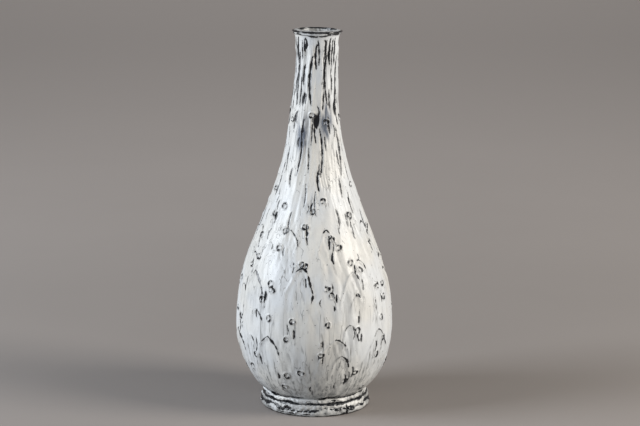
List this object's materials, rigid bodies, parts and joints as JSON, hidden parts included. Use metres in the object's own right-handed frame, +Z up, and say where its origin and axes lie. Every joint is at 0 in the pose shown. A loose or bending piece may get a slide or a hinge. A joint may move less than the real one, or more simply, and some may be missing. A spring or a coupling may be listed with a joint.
{
  "type": "bottle vase",
  "caption": "Tall stoneware bottle vase with a round belly, slim neck, outturned lip and coiled foot, white glaze over dark relief, for flowers or display.",
  "frame": {"origin": "centre of the standing face, on the table", "axes": "+Z up along the axis of the vase, -Y to the front of the picture's view, +X to its right"},
  "size_m": [0.1882, 0.1882, 0.45],
  "materials": {
    "white_glaze": "satin gloss white over black",
    "foot_glaze": "satin white with dark pooled bands",
    "relief_glaze": "white broken to black on the edges"
  },
  "bodies": {
    "root": {"lower_bowl": "white_glaze", "belly_wall": "white_glaze", "shoulder_wall": "white_glaze", "neck_tube": "white_glaze", "foot_ring": "foot_glaze", "foot_collar": "foot_glaze", "lower_leaves": "relief_glaze", "upper_leaves": "relief_glaze", "belly_buds": "relief_glaze", "shoulder_buds": "relief_glaze", "neck_buds": "relief_glaze", "shoulder_ribs": "relief_glaze", "neck_ribs": "relief_glaze"}
  },
  "joints": []
}
